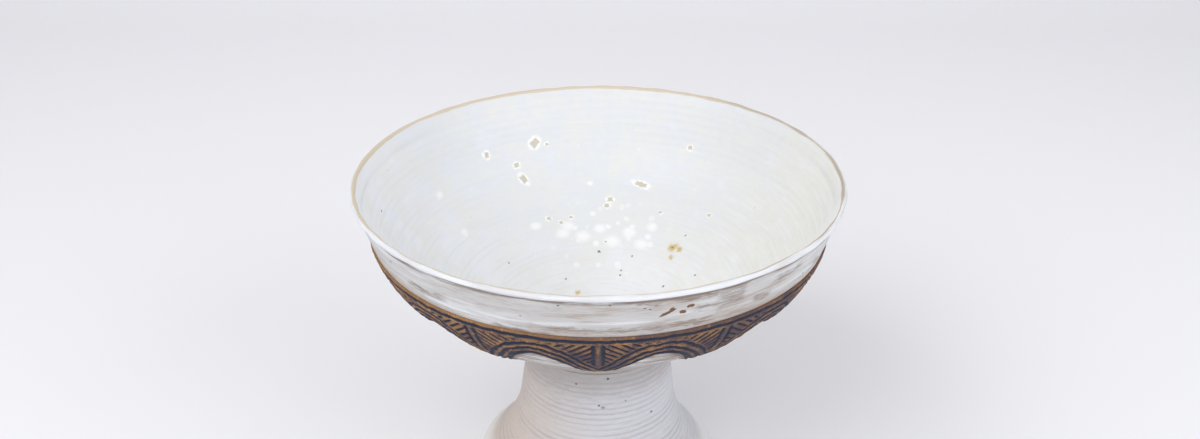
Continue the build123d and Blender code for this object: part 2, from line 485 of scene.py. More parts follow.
def thrown(profile_place, normal, push, azimuth):
    """Points of a revolved surface: each profile place is pushed out along its normal, settled,
    and turned round the axis to its azimuth. Below the junction it is then moved aside, in
    proportion to how far below it lies."""
    place = profile_place + normal * push[..., None]
    radius, height = settled(place, azimuth)
    aside = FOOT_SHIFT * np.clip(1 - place[..., 1] / PEDESTAL_BOX[1].z, 0, 1)
    return np.stack([radius * np.cos(azimuth) + aside, radius * np.sin(azimuth), height], axis=-1)


def put(name, data):
    """Object that holds this data, in the scene."""
    made = bpy.data.objects.new(name, data)
    bpy.context.scene.collection.objects.link(made)
    return made


def closed_mesh(name, grid, looped, **fields):
    """Object from a grid of points whose columns join round the axis.

    Its rows join last to first if looped, and otherwise each end row closes on a point of
    the axis. Fields are values at the points, kept as mesh attributes for the finish.
    """
    rows, columns = grid.shape[:2]
    index = np.arange(rows * columns).reshape(rows, columns)
    points, faces = grid.reshape(-1, 3), []
    lower = index if looped else index[:-1]
    upper = np.roll(index, -1, axis=0) if looped else index[1:]
    ring = [lower, upper, np.roll(upper, -1, axis=1), np.roll(lower, -1, axis=1)]
    faces += np.stack(ring, axis=-1).reshape(-1, 4).tolist()
    if not looped:
        ends = np.stack([grid[0].mean(axis=0), grid[-1].mean(axis=0)])
        ends[:, :2] = 0
        first, last = len(points), len(points) + 1
        points = np.concatenate([points, ends])
        faces += [(first, a, b) for a, b in zip(index[0].tolist(), np.roll(index[0], -1).tolist())]
        faces += [(a, last, b) for a, b in zip(index[-1].tolist(), np.roll(index[-1], -1).tolist())]
    mesh = bpy.data.meshes.new(name)
    mesh.from_pydata(points, [], faces)
    mesh.shade_smooth()
    for field, values in fields.items():
        kind, slot = ("FLOAT_VECTOR", "vector") if values.ndim == 3 else ("FLOAT", "value")
        values = values.reshape(rows * columns, -1)
        if not looped:
            tips = [values[:columns].mean(axis=0), values[-columns:].mean(axis=0)]
            values = np.concatenate([values, tips])
        mesh.attributes.new(field, kind, "POINT").data.foreach_set(slot, values.astype(np.float32).ravel())
    mesh.validate()
    return put(name, mesh)


def wheel_field(azimuth, distance, drawn_out):
    """A place to read patterns at that turn with the wheel: a circle of one size for the azimuth,
    and the distance down the wall, drawn out so that marks come long and narrow."""
    circle = 60 * MM
    around = np.broadcast_to(azimuth, distance.shape)
    return np.stack([circle * np.cos(around), circle * np.sin(around), distance * drawn_out], axis=-1)


def ring_grid(distances, columns):
    """Azimuth of each column and distance of each row, as grids."""
    return np.meshgrid(np.arange(columns) * TURN / columns, distances)


def knife_wander(azimuth, down):
    """How far a hand-held knife strays from an arch's edge."""
    return KNIFE_WANDER * unevenness(5, azimuth, down, 90, 22 * MM)


class ArchCut:
    """The row of arches cut out of the belt, as the solids have it.

    Each arch is half an ellipse on straight legs, drawn on a plane that stands square to the
    wall half way down the lappets and passed straight through the wall.
    """

    def __init__(self, profile, belt):
        self.belt, self.half_step = belt, pi / belt.lappets
        self.wall = joined(*profile.wall[1:])
        heights = (belt.belt_width, belt.depth, (belt.belt_width + belt.depth) / 2)
        (crown, tip, self.middle), normals = placed(self.wall, np.array(heights))
        self.out = normals[2]
        tip_side = tip[0] * sin(self.half_step)
        self.foot = self.height_on_plane(tip[0] * cos(self.half_step), tip[1])
        self.rise = self.height_on_plane(*crown) - self.foot
        self.half_width = tip_side - belt.tip_width / 2

    def height_on_plane(self, out_from_axis, height):
        """How far up the arches' plane a place lies."""
        return (out_from_axis - self.middle[0]) * -self.out[1] + (height - self.middle[1]) * self.out[0]

    def distance(self, azimuth, place):
        """Distance from the nearest arch's edge, above 0 on the clay that is left.

        Beside the legs it is the plain distance. Round the ellipse it is (q - 1) over the
        gradient of q, where q is the place's radius as a share of the ellipse's.
        """
        offset = (azimuth % (2 * self.half_step)) - self.half_step
        side = np.abs(place[..., 0] * np.sin(offset))
        up = self.height_on_plane(place[..., 0] * np.cos(offset), place[..., 1]) - self.foot
        a, b = self.half_width, self.rise
        q = np.sqrt((side / a) ** 2 + (up / b) ** 2)
        gradient = np.sqrt(side**2 / a**4 + up**2 / b**4) / np.maximum(q, 1e-6)
        return np.where(up > 0, (q - 1) / np.maximum(gradient, 1e-6), side - a)


class Value:
    """A socket in one finish. Arithmetic on it adds Math nodes."""

    def __init__(self, finish, socket):
        self.finish, self.socket = finish, socket

    def math(self, operation, *values):
        """A Math node on these values."""
        return self.finish.node("ShaderNodeMath", {"operation": operation}, dict(enumerate(values)))

    def __add__(self, other):
        return self.math("ADD", self, other)

    def __sub__(self, other):
        return self.math("SUBTRACT", self, other)

    def __rsub__(self, other):
        return self.math("SUBTRACT", other, self)

    def __mul__(self, other):
        return self.math("MULTIPLY", self, other)

    def larger(self, other):
        """The larger of the two."""
        return self.math("MAXIMUM", self, other)

    __radd__, __rmul__ = __add__, __mul__


class Finish:
    """A material, put together from expressions. Its base colour is laid on coat by coat."""

    def __init__(self, name, **constants):
        self.material = bpy.data.materials.new(name)
        self.material.use_nodes = True
        self.tree = self.material.node_tree
        self.shader = self.tree.nodes["Principled BSDF"]
        for socket, value in constants.items():
            self.shader.inputs[socket.replace("_", " ")].default_value = value

    def feed(self, socket, value):
        """Links a value to a socket, or sets a plain number or colour on it."""
        if isinstance(value, Value):
            self.tree.links.new(value.socket, socket)
        elif socket.type == "RGBA":
            socket.default_value = (*value[:3], 1)
        else:
            socket.default_value = value

    def node(self, kind, settings, sockets, output=0):
        """A node of this type: its settings first, then the values or links of its sockets."""
        made = self.tree.nodes.new(kind)
        for name, value in settings.items():
            setattr(made, name, value)
        for key, value in sockets.items():
            self.feed(made.inputs[key], value)
        return Value(self, made.outputs[output])

    def place(self):
        """Where on the object a point lies, in metres."""
        return self.node("ShaderNodeTexCoord", {}, {}, "Object")

    def field(self, name):
        """A number that the mesh keeps at its points."""
        return self.node("ShaderNodeAttribute", {"attribute_name": name}, {}, "Fac")

    def wheel(self):
        """The mesh's place for patterns that turn with the wheel."""
        return self.node("ShaderNodeAttribute", {"attribute_name": "wheel"}, {}, "Vector")

    def noise(self, vector, size, detail=2.0, roughness=0.5):
        """Soft noise, 0 to 1 about a half, with blots of about this size."""
        sockets = {"Vector": vector, "Scale": 1 / size, "Detail": detail, "Roughness": roughness}
        return self.node("ShaderNodeTexNoise", {}, sockets)

    def small_specks(self, vector, spacing, share_of_spacing):
        """Scattered specks about this far apart, of this radius as a share of it."""
        sockets = {"Vector": vector, "Scale": 1 / spacing}
        nearest = self.node("ShaderNodeTexVoronoi", {}, sockets, "Distance")
        return self.step(nearest, share_of_spacing * 1.3, share_of_spacing * 0.7)

    def step(self, value, low, high):
        """Eased step from 0 at low to 1 at high, or the other way where low is the larger."""
        settings = {"interpolation_type": "SMOOTHSTEP"}
        sockets = {"Value": value, "From Min": low, "From Max": high}
        return self.node("ShaderNodeMapRange", settings, sockets)

    def mix(self, mask, without, with_it):
        """One colour where the mask is 0 and the other where it is 1."""
        return self.node("ShaderNodeMix", {"data_type": "RGBA"}, {0: mask, 6: without, 7: with_it}, 2)

    def coat(self, mask, colour):
        """Lays a colour over the base so far, as thick as the mask says."""
        self.base = self.mix(mask, self.base, colour)

    def moved(self, vector, by, amount):
        """A vector shifted by the colour of a noise, to make outlines uneven."""
        blots = self.node("ShaderNodeTexNoise", {}, {"Vector": vector, "Scale": 1 / by, "Detail": 2.0}, 1)
        centred = self.node("ShaderNodeVectorMath", {"operation": "SUBTRACT"}, {0: blots, 1: (0.5,) * 3})
        settings = {"operation": "MULTIPLY_ADD"}
        return self.node("ShaderNodeVectorMath", settings, {0: centred, 1: (amount,) * 3, 2: vector})

    def patch(self, vector, spot):
        """1 inside a spot and 0 outside its edge, eased. A Mapping node brings the spot to the origin
        at size one, so that what comes out is 1 on its edge: its length on an oval, and its largest
        part on a square."""
        sockets = {"Vector": vector, "Location": spot.at, "Rotation": spot.turned, "Scale": spot.size}
        local = self.node("ShaderNodeMapping", {"vector_type": "TEXTURE"}, sockets)
        if spot.square:
            apart = self.node("ShaderNodeVectorMath", {"operation": "ABSOLUTE"}, {0: local})
            x, y, z = (self.part(apart, axis) for axis in "XYZ")
            away = x.larger(y).larger(z)
        else:
            away = self.node("ShaderNodeVectorMath", {"operation": "LENGTH"}, {0: local}, "Value")
        return self.step(away, 1 + spot.softness, 1 - spot.softness)

    def patches(self, vector, spots):
        """1 inside any of these spots."""
        total = self.patch(vector, spots[0])
        for spot in spots[1:]:
            total = total.larger(self.patch(vector, spot))
        return total

    def part(self, vector, axis):
        """One part of a vector: of a place, X is to the right, Y is away and Z is up."""
        return self.node("ShaderNodeSeparateXYZ", {}, {0: vector}, axis)

    def finish(self, roughness, height=None, depth=0.0):
        """Feeds the shader. Height is raised by this depth as a bump."""
        self.feed(self.shader.inputs["Base Color"], self.base)
        self.feed(self.shader.inputs["Roughness"], roughness)
        if height is not None:
            bump = self.node("ShaderNodeBump", {}, {"Height": height, "Distance": depth, "Strength": 1.0})
            self.feed(self.shader.inputs["Normal"], bump)
        return self.material


def inner_glaze(colours, surface):
    """Milky satin glaze inside the bowl, drawn back from the lip, with painted light: cool shade at the
    left, warm light at the right, painted shade on the far wall, in the throwing rings and in a ring under
    the rim, and paler on the near side."""
    f = Finish("inner_glaze", Specular_IOR_Level=0.4)
    place, wheel = f.place(), f.wheel()
    broad = f.noise(place, 90 * MM, 3)
    streaks = f.noise(wheel, 14 * MM, 4, 0.6)
    mottle = f.noise(place, 7 * MM, 3, 0.6)
    rings, from_lip = f.field("ring"), f.field("from_lip")
    strong = f.step(f.noise(wheel, 30 * MM, 2), 0.35, 0.6)
    # Painted light: the left of the inside cool as if in shade, the right warm as if lit
    warm = f.step(f.part(place, "X") + broad * 0.2, -0.03, 0.22)
    f.base = f.mix(warm, colours.cool_milk, colours.cream)
    middle = f.step(f.field("from_axis") + broad * 0.06, 0.19, 0.08)
    f.coat(middle * 0.7, colours.milk)
    f.coat(f.step(streaks + mottle * 0.4, 0.55, 0.9) * 0.6, colours.milk)
    # Painted shade in the throwing rings
    f.coat(f.step(rings * strong + mottle * 0.5, 0.6, 1.3) * 0.5, colours.shaded)
    # Painted shade in a ring just under the rim inside
    shade_ring_under_rim = f.step(from_lip, -0.019, -0.015) * f.step(from_lip, -0.010, -0.0135)
    f.coat(shade_ring_under_rim * f.step(streaks + broad, 0.8, 1.15) * 0.22, colours.slip_shadow)

    # Painted shade on the far wall inside, and paler glaze towards the near side
    away = f.part(place, "Y") + broad * 0.08
    f.coat(f.step(away, 0.05, 0.19) * 0.85, colours.shaded)
    f.coat(f.step(away, 0.05, -0.05) * 0.75, colours.thick)
    cloud = f.noise(place, 26 * MM, 4, 0.6)
    f.coat(f.step(cloud + mottle * 0.5, 0.62, 0.95) * 0.5, colours.cream)
    f.coat(f.step(cloud + mottle * 0.3, 0.6, 0.42) * 0.35, colours.cool_milk)

    uneven = f.moved(place, 4 * MM, 2.4 * MM)
    finely = f.moved(place, 2.2 * MM, 2.6 * MM)
    blots = f.patches(uneven, spots_seen(surface, GLAZE_BLOTS, 0.6))
    floor = f.patches(uneven, spots_seen(surface, BLOTTED_FLOOR, 0.5))
    dots = f.small_specks(uneven, 11 * MM, 0.26) * floor
    dots = dots.larger(f.small_specks(uneven, 17 * MM, 0.055) * 0.6)
    f.coat(blots.larger(dots) * 0.7, colours.thick)
    torn = f.moved(place, 3.2 * MM, 5 * MM)
    halo = f.patches(torn, spots_seen(surface, GLAZE_POPS, share=1.5))
    f.coat(halo * 0.95, colours.thick)
    ripped = f.moved(place, 3.0 * MM, 3.4 * MM)
    opened = f.patches(ripped, spots_seen(surface, GLAZE_POPS, 0.25, 0.85, square=True))
    f.coat(opened * 0.95, colours.pop)
    ochre = f.patches(finely, spots_seen(surface, OCHRE_SPOTS, 0.6))
    f.coat(ochre * f.step(mottle, 0.3, 0.5) * 0.95, colours.honey)
    specks = f.patches(finely, spots_seen(surface, GLAZE_SPECKS))
    f.coat(specks * 0.85, colours.speck)
    f.coat(f.small_specks(place, 26 * MM, 0.019) * 0.5, colours.stain)

    edge = lip_clay(f, colours, place, wheel)
    height = f.noise(place, 2.2 * MM, 2) * 0.6 + streaks * 1.5 - opened * 1.5
    return f.finish(0.36 + 0.16 * broad + edge * 0.25, height, 0.1 * MM)


def lip_clay(f, colours, place, wheel):
    """Adds the clay that shows where the glaze has drawn back along the top of the lip: toasted at
    the right, wide at the left and behind, and about 2 mm at the front. Gives its mask."""
    from_lip = f.field("from_lip")
    ragged = f.noise(wheel, 9 * MM, 4, 0.6) * 0.0024 + f.noise(place, 45 * MM, 2) * 0.0024
    behind = f.step(f.part(place, "Y"), 0.08, 0.17)
    wide = behind.larger(f.step(f.part(place, "X") + ragged * 12, -0.125, -0.165)) * 0.0013
    wide = wide + f.step(f.noise(place, 70 * MM, 2), 0.42, 0.6) * 0.0007
    inner, outer = from_lip + ragged + wide, from_lip - ragged - wide
    edge = f.step(inner, -0.0004, 0.0010) * f.step(outer, -0.0019, -0.0032)
    toasted = f.step(f.part(place, "X") + f.noise(place, 50 * MM, 2) * 0.12, 0.08, 0.24)
    clay = f.mix(toasted * 0.6, colours.bare_clay, colours.brushed_warm)
    f.coat(edge * 0.95, clay)
    return edge


def brushed_glaze(colours, surface):
    """Thin glaze brushed round the outside: pale on the collar, stained under the belt's arches,
    grey on the belly."""
    f = Finish("brushed_glaze", Specular_IOR_Level=0.35)
    place, wheel = f.place(), f.wheel()
    streaks = f.noise(wheel, 9 * MM, 5, 0.65)
    hairs = f.noise(wheel, 3.5 * MM, 3, 0.6)
    broad = f.noise(place, 55 * MM, 3)
    grain = f.noise(place, 1.8 * MM, 3, 0.6)
    from_lip, down, from_arch = f.field("from_lip"), f.field("down"), f.field("from_arch")
    cloud = f.noise(wheel, 40 * MM, 4, 0.55)
    thin = f.step(streaks * 0.55 + cloud * 0.6 + hairs * 0.3, 0.72, 0.9)
    f.base = f.mix(f.step(cloud + streaks * 0.4, 0.70, 0.46) * 0.9, colours.brushed, colours.cool_milk)
    f.coat(thin * 0.85, colours.brushed_warm)
    f.coat(f.step(hairs * 0.6 + grain * 0.4, 0.6, 0.72) * 0.4, colours.brushed_warm)
    low_edge = f.step(down + (cloud + streaks) * 0.022, 0.010, 0.026)
    f.coat(low_edge * f.step(hairs + grain * 0.3, 0.4, 0.75) * 0.7, colours.brushed_warm)

    uneven = f.moved(place, 9 * MM, 9 * MM)
    finely = f.moved(place, 2.2 * MM, 2.2 * MM)
    patches = f.patches(uneven, spots_seen(surface, COLLAR_PATCHES, 0.35, square=True))
    f.coat(patches * f.step(hairs * 1.2 + streaks * 0.4, 0.5, 0.95) * 0.62, colours.stain)

    below = f.step(down, 0.0, 0.004)
    streaked = f.step(cloud * 0.4 + streaks * 0.7 + hairs * 0.2, 0.58, 0.74)
    belly = f.mix(f.step(streaks + broad * 0.4, 0.55, 0.9) * 0.5, colours.belly, colours.brushed_warm)
    belly = f.mix(f.step(streaks + cloud * 0.6, 0.72, 0.95) * 0.35, belly, colours.stain)
    belly = f.mix(f.step(streaks + hairs * 0.4, 0.66, 0.5) * 0.4, belly, colours.brushed)
    arch = f.mix(streaked * 0.75, colours.brushed, colours.stain)
    arch = f.mix(f.step(streaks + hairs * 0.4, 0.62, 0.46), arch, colours.milk)
    arch = f.mix(f.step(grain + hairs, 1.05, 1.25) * 0.4, arch, colours.stain)
    in_arch = f.step(down + streaks * 0.026, 0.106, 0.070)
    belly = f.mix(in_arch, belly, arch)
    belly = f.mix(f.step(from_arch + streaks * 0.010, -0.0015, 0.003) * 0.8, belly, colours.stain)
    f.coat(below, belly)

    chips = f.patches(finely, spots_seen(surface, COLLAR_CHIPS, 0.2, 1.15))
    f.coat(chips, colours.chip)
    specks = f.patches(finely, spots_seen(surface, COLLAR_SPECKS))
    f.coat(specks * 0.8, colours.speck)
    f.coat(f.small_specks(place, 16 * MM, 0.03) * 0.6, colours.stain)

    glazed_lip = f.step(from_lip, 0.0062, 0.0052)
    crease = f.step(from_lip, 0.0056, 0.0064) * f.step(from_lip, 0.0124, 0.0096)
    patchy = f.step(streaks * 0.6 + broad * 0.6, 0.5, 0.8)
    lip_glaze = f.mix(patchy * 0.6, colours.cool_milk, colours.brushed)
    f.coat(glazed_lip * f.step(streaks + grain * 0.15, 0.2, 0.4), lip_glaze)
    f.coat(crease * f.step(streaks + cloud * 0.8, 0.78, 1.0) * 0.8, colours.stain)
    edge = lip_clay(f, colours, place, wheel)
    height = grain * 0.7 + streaks * 2.5 + hairs
    return f.finish(0.48 + 0.2 * streaks + edge * 0.2, height, 0.16 * MM)


def carved_slip(colours):
    """Iron slip on the carved belt: umber and rust, ochre and gold on the ridges, ink wiped into the lines,
    and a painted highlight in ochre along the belt's top edge, strongest at the left."""
    f = Finish("carved_slip", Specular_IOR_Level=0.25)
    place = f.place()
    blots = f.noise(place, 13 * MM, 4, 0.6)
    broad = f.noise(place, 45 * MM, 2)
    grain = f.noise(place, 1.5 * MM, 3, 0.65)
    groove, down = f.field("groove"), f.field("down")
    f.base = f.mix(f.step(blots * 0.8 + grain * 0.4, 0.5, 0.72), colours.umber, colours.rust)
    ridge = f.step(groove, 0.3, 0.05) * f.step(blots * 0.6 + grain * 0.6 + broad * 0.6, 0.84, 1.06)
    x = f.part(place, "X") + blots * 0.05
    left, right = f.step(x, 0.06, -0.06), f.step(x, 0.08, 0.16)
    top = f.step(down + grain * 0.002, 0.0052, 0.0040) * (1 - left * 0.5)
    ridge = ridge * (1 - right * 0.55) * (1 - top * 0.75)
    # Painted highlight in ochre along the belt's top edge, strongest at the left
    belt_top_highlight = f.step(down + grain * 0.0016, 0.0020, 0.0010) * (0.1 + 0.65 * left)
    f.coat(ridge.larger(belt_top_highlight) * 0.9, colours.ochre)
    f.coat(f.step(groove + grain * 0.6 + blots * 0.25, 0.42, 0.72), colours.ink)
    f.coat(f.step(grain, 0.58, 0.72) * 0.5, colours.umber)
    flecks = f.step(f.noise(place, 3.4 * MM, 3, 0.7), 0.58, 0.66) * f.step(groove, 0.45, 0.15)
    f.coat(flecks * f.step(broad + blots * 0.4, 0.6, 0.85) * 0.6, colours.gold)
    return f.finish(0.6 + 0.2 * grain, grain * 1.4 + blots, 0.45 * MM)


def pedestal_slip(colours, surface):
    """Matt off-white slip on the foot, cool in most places, with painted light: warm reflected light at the
    left, painted shade in the grooves, a painted shadow under the bowl, and a painted highlight on the
    foot's edge."""
    f = Finish("pedestal_slip", Specular_IOR_Level=0.25)
    place, wheel = f.place(), f.wheel()
    streaks = f.noise(wheel, 9 * MM, 4, 0.6)
    hairs = f.noise(wheel, 3 * MM, 3, 0.6)
    broad = f.noise(place, 60 * MM, 3)
    groove = f.step(f.field("ring") + streaks * 0.6, 0.4, 1.3)
    # Painted warm reflected light on the left of the foot
    warm = f.step(f.part(place, "X") + broad * 0.06, 0.045, -0.055)
    f.base = f.mix(warm, colours.slip, colours.slip_warm_reflection)
    f.coat(f.step(streaks * 0.6 + broad * 0.5, 0.52, 0.75) * 0.3, colours.brushed_warm)
    f.coat(f.step(hairs, 0.45, 0.25) * 0.35, colours.milk)
    # Painted shade in the throwing grooves
    f.coat(groove * 0.52, colours.slip_shadow)
    # Painted highlight on the foot's rounded edge
    edge = f.step(f.field("from_axis") + streaks * 0.004, 0.0900, 0.1000)
    f.coat(edge * 0.6, colours.milk)
    # Painted shadow under the bowl: the stem greys towards its top
    high = f.step(f.part(place, "Z") + streaks * 0.02, 0.098, 0.134)
    f.coat(high * 0.65, colours.painted_bowl_shadow)
    finely = f.moved(place, 1.5 * MM, 0.8 * MM)
    specks = f.patches(finely, spots_seen(surface, FOOT_SPECKS))
    f.coat(specks * 0.85, colours.speck)
    moss = f.patches(finely, spots_seen(surface, FOOT_MOSS_SPOTS))
    f.coat(moss * 0.7, colours.moss)
    f.coat(f.small_specks(place, 14 * MM, 0.03) * 0.5, colours.stain)
    return f.finish(0.62 + 0.15 * streaks, f.noise(place, 1.2 * MM, 3) + streaks * 2, 0.12 * MM)


def coil_clay(colours):
    """Unglazed clay."""
    f = Finish("coil_clay", Specular_IOR_Level=0.25)
    grain = f.noise(f.place(), 1.4 * MM, 4, 0.7)
    f.base = f.mix(grain, colours.bare_clay, colours.brushed_warm)
    return f.finish(0.8, grain, 0.3 * MM)


def wear(piece, nodes, materials, face_material=None):
    """Gives a piece its finishes and its place in the frame."""
    for material in materials:
        piece.data.materials.append(material)
    if face_material is not None:
        piece.data.polygons.foreach_set("material_index", face_material.astype(np.int32))
    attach(piece, "root")
    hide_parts(*nodes)


def drawing(context):
    """The vase's settings, and the bowl profile and arches drawn from them."""
    scene = context.scene
    profile = BowlProfile(scene.vase_bowl, scene.vase_pedestal)
    return scene, profile, ArchCut(profile, scene.vase_belt)


class VASE_OT_bowl(bpy.types.Operator):
    """Throw the bowl: glazed inside, rolled lip, brushed outside"""

    bl_idname = "vase.bowl"
    bl_label = "Bowl"

    columns = 336

    def execute(self, context):
        scene, profile, arches = drawing(context)
        sizes = scene.vase_bowl
        lip_end = profile.collar_start
        distances = rows_of(
            (2 * MM, profile.inside_length, 1.8 * MM),
            (profile.inside_length, lip_end, 0.55 * MM),
            (lip_end, lip_end + profile.collar_length, 1.3 * MM),
            (lip_end + profile.collar_length, lip_end + profile.wall_length, 2.4 * MM),
            (lip_end + profile.wall_length, profile.length - 2 * MM, 4 * MM),
        )
        azimuth, distance = ring_grid(distances, self.columns)
        place, normal = placed(profile.points, distance)
        from_lip = distance - profile.lip_top
        inside = smooth(from_lip, -3 * MM, -9 * MM)
        outside = smooth(from_lip, 9 * MM, 14 * MM)
        depth_in = -from_lip
        wander = 0.3 * unevenness(1, azimuth, distance, 3, 60 * MM)
        tightening = 1 + 0.35 * np.clip(depth_in / profile.inside_length, 0, 1)
        ring = spiral(azimuth, depth_in * tightening, sizes.ring_pitch, wander) * inside
        push = sizes.ring_depth * ring
        push = push + 0.35 * MM * unevenness(2, azimuth, distance, 4, 50 * MM) * inside
        push = push + 0.12 * MM * unevenness(3, azimuth, distance, 2, 5 * MM) * outside
        push = push - 0.5 * MM * inside - 0.3 * MM * outside
        lip = smooth(np.abs(from_lip), 8 * MM, 5 * MM)
        push = push + 0.4 * MM * (unevenness(4, azimuth, from_lip, 46, 30 * MM) - 1) * lip
        grid = thrown(place, normal, push, azimuth)
        piece = closed_mesh(
            "thrown_bowl",
            grid,
            False,
            wheel=wheel_field(azimuth, from_lip, 3.5),
            from_lip=from_lip,
            from_axis=np.broadcast_to(place[..., 0], distance.shape),
            down=distance - lip_end - profile.collar_length,
            ring=ring,
            from_arch=arches.distance(azimuth, place),
        )
        outer = from_lip[:-1].ravel() > 0
        face_material = np.concatenate([outer, [False] * self.columns, [True] * self.columns])
        colours, view = scene.vase_colours, scene.vase_view
        finishes = [
            inner_glaze(colours, (view, profile.inside, True)),
            brushed_glaze(colours, (view, joined(*profile.wall), False)),
        ]
        wear(piece, ["bowl"], finishes, face_material)
        return {"FINISHED"}


class VASE_OT_pedestal(bpy.types.Operator):
    """Throw the hollow foot with its grooves"""

    bl_idname = "vase.pedestal"
    bl_label = "Pedestal"

    columns = 400

    def execute(self, context):
        scene, profile, _ = drawing(context)
        sizes = scene.vase_pedestal
        top = np.array([sizes.stem_radius, sizes.height])
        fall = falling(-sizes.stem_lean)
        stem_end = top + fall * sizes.stem_length
        edge_top = np.array([sizes.foot_radius, sizes.foot_edge])
        inner_top = top - (sizes.wall, 0)
        inner_stem_end = inner_top + fall * sizes.stem_length
        inner_foot = np.array([sizes.foot_radius - sizes.foot_ring, 0])
        flare = joined(straight(top, stem_end), bend(stem_end, fall, edge_top))
        hollow = joined(straight(inner_top, inner_stem_end), bend(inner_stem_end, fall, inner_foot))
        foot = self.foot_edge(flare, sizes)
        points = joined(flare[flare[:, 1] > foot[0, 1]], foot, hollow[::-1][1:])
        outer = travelled(flare)[-1]
        total = travelled(points)[-1]
        distances = rows_of((0, outer + 12 * MM, 0.8 * MM), (outer + 12 * MM, total, 2.4 * MM))
        azimuth, distance = ring_grid(distances, self.columns)
        place, normal = placed(points, distance)
        thrown_part = smooth(distance, 0, 4 * MM) * smooth(place[..., 0], 92 * MM, 84 * MM)
        thrown_part = thrown_part * (distance < outer)
        wander = 0.18 * unevenness(11, azimuth, distance, 3, 40 * MM)
        strength = np.clip(0.6 + 0.5 * unevenness(13, azimuth, distance, 2, 16 * MM), 0.1, 1)
        ring = spiral(azimuth, distance, sizes.groove_pitch, wander) ** 2 * strength * thrown_part
        push = -sizes.groove_depth * ring
        push = push - 0.15 * MM * (1 + unevenness(12, azimuth, distance, 4, 25 * MM)) * thrown_part
        grid = thrown(place, normal, push, azimuth)
        piece = closed_mesh(
            "thrown_pedestal",
            grid,
            True,
            wheel=wheel_field(azimuth, distance, 6),
            from_axis=np.broadcast_to(place[..., 0], distance.shape),
            ring=ring,
        )
        slip = pedestal_slip(scene.vase_colours, (scene.vase_view, flare, False))
        wear(piece, ["pedestal"], [slip])
        return {"FINISHED"}

    def foot_edge(self, flare, sizes):
        """The foot's rounded edge, from the flare to the ring that the foot stands on: an arc that
        leaves the flare along its slope, and a quarter circle under it."""
        leaves, after = (flare[flare[:, 1] > sizes.foot_edge + up][-1] for up in FOOT_SLOPE_BETWEEN)
        start = np.array([sizes.foot_radius, FOOT_ROUND])
        shoulder = bend(leaves, unit(after - leaves), start)
        ring = np.array([sizes.foot_radius - FOOT_ROUND, 0.0])
        return joined(shoulder, bend(start, np.array([0.0, -1.0]), ring))


